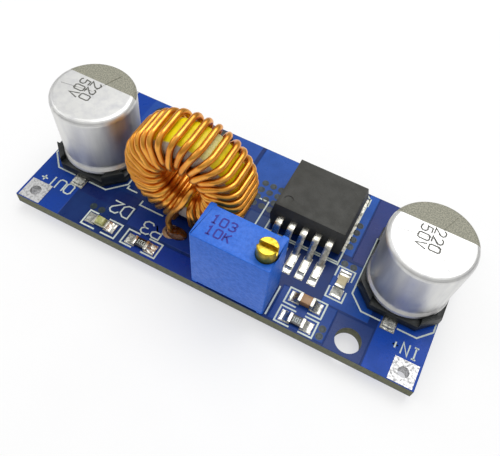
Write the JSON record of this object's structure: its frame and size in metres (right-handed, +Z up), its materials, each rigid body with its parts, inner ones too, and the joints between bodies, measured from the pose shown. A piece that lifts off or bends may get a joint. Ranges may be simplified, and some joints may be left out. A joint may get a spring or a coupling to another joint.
{
  "type": "buck converter module",
  "caption": "Step-down DC voltage converter board with upright toroidal inductor, two can capacitors, trimmer and corner wire pads.",
  "frame": {"origin": "under the middle of the board, level with the tips of the soldered trimmer pins, 1 mm below the board's underside", "axes": "+X along the board from the output end to the input end, +Y from the trimmer's edge to the regulator's edge, +Z up out of the component side"},
  "size_m": [0.054, 0.023, 0.0184],
  "materials": {
    "board": "blue solder resist over glass fibre, white print, bare grey edges",
    "tinned_pad": "tinned copper, uneven satin",
    "plating": "plated copper, dull",
    "can": "drawn aluminium, satin, with a dark band on top",
    "capacitor_base": "black moulded plastic",
    "terminal": "tin plate, satin",
    "core": "yellow epoxy paint, one face pale grey",
    "enamelled_wire": "clear enamel on copper, glossy",
    "regulator_moulding": "dark epoxy moulding, fine grain",
    "diode_moulding": "black epoxy moulding",
    "trimmer_case": "blue moulded plastic, satin",
    "potting": "blue-grey epoxy potting",
    "screw_brass": "turned brass, satin",
    "seal_rubber": "black silicone rubber",
    "led_base": "pale laminate",
    "led_lens": "clear epoxy with a yellow-green cast",
    "end_cap": "tin plate, satin",
    "resistor_body": "black glass coat on ceramic",
    "ceramic_block": "tan fired ceramic",
    "solder": "solder, glossy",
    "white_print": "screen-printed white ink on the board",
    "dark_print": "dark ink and bare dark aluminium on the capacitors and the trimmer",
    "flux_residue": "amber flux left round the soldered inductor"
  },
  "bodies": {
    "module": {"circuit_board": "board", "wire_terminal_pads": "tinned_pad", "via_barrels": "plating", "pin_pads": "tinned_pad", "component_pads": "tinned_pad", "output_capacitor_can": "can", "output_capacitor_base": "capacitor_base", "output_capacitor_terminals": "terminal", "input_capacitor_can": "can", "input_capacitor_base": "capacitor_base", "input_capacitor_terminals": "terminal", "inductor_core": "core", "inductor_winding": "enamelled_wire", "regulator_body": "regulator_moulding", "regulator_heat_tab": "terminal", "regulator_leads": "terminal", "diode_body": "diode_moulding", "diode_terminals": "terminal", "trimmer_housing": "trimmer_case", "trimmer_potting": "potting", "trimmer_screw_seal": "seal_rubber", "trimmer_pins": "terminal", "led_base": "led_base", "led_lens": "led_lens", "led_terminals": "end_cap", "led_resistor_body": "resistor_body", "led_resistor_ends": "end_cap", "feedback_resistor_body": "resistor_body", "feedback_resistor_ends": "end_cap", "feedback_capacitor_body": "ceramic_block", "feedback_capacitor_ends": "end_cap", "supply_capacitor_body": "ceramic_block", "supply_capacitor_ends": "end_cap", "chip_solder": "solder", "lead_solder": "solder", "pin_solder": "solder"},
    "adjusting_screw": {"trimmer_screw": "screw_brass"}
  },
  "joints": [
    {"name": "trimmer_adjust", "type": "hinge", "parent": "module", "child": "adjusting_screw", "pos_m": [0.00675, -0.00954, 0.012], "axis": [0, 0, 1], "continuous": true}
  ]
}
